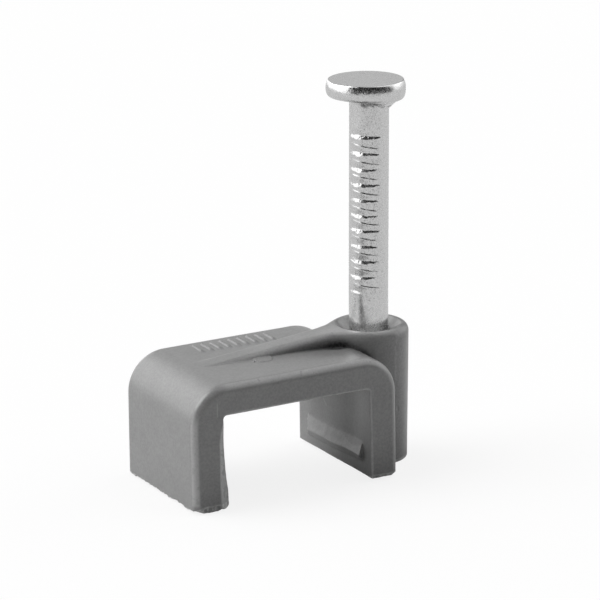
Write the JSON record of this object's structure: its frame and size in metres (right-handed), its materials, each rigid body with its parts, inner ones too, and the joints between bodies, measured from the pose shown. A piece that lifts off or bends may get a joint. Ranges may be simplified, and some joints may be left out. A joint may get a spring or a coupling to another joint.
{
  "type": "nail-in cable clip",
  "caption": "Flat-cable clip: a plastic bridge on two legs with a nail boss beside one leg and a steel nail preset in the boss.",
  "frame": {"origin": "where the nail's axis meets the plane of the feet, which is the wall's surface", "axes": "+Z away from the wall along the nail, +X along the bridge from the plain leg towards the nail boss, +Y along the cable"},
  "size_m": [0.0139, 0.0076, 0.0195],
  "materials": {
    "clip_body": "satin moulded grey polyolefin with a fine mould texture",
    "nail": "bright zinc-plated steel, softly dulled"
  },
  "bodies": {
    "clip": {"clip_body": "clip_body"},
    "nail": {"nail": "nail"}
  },
  "joints": [
    {"name": "nail_drive", "type": "slide", "parent": "clip", "child": "nail", "axis": [0, 0, -1], "range_m": [0, 0.0115]}
  ]
}
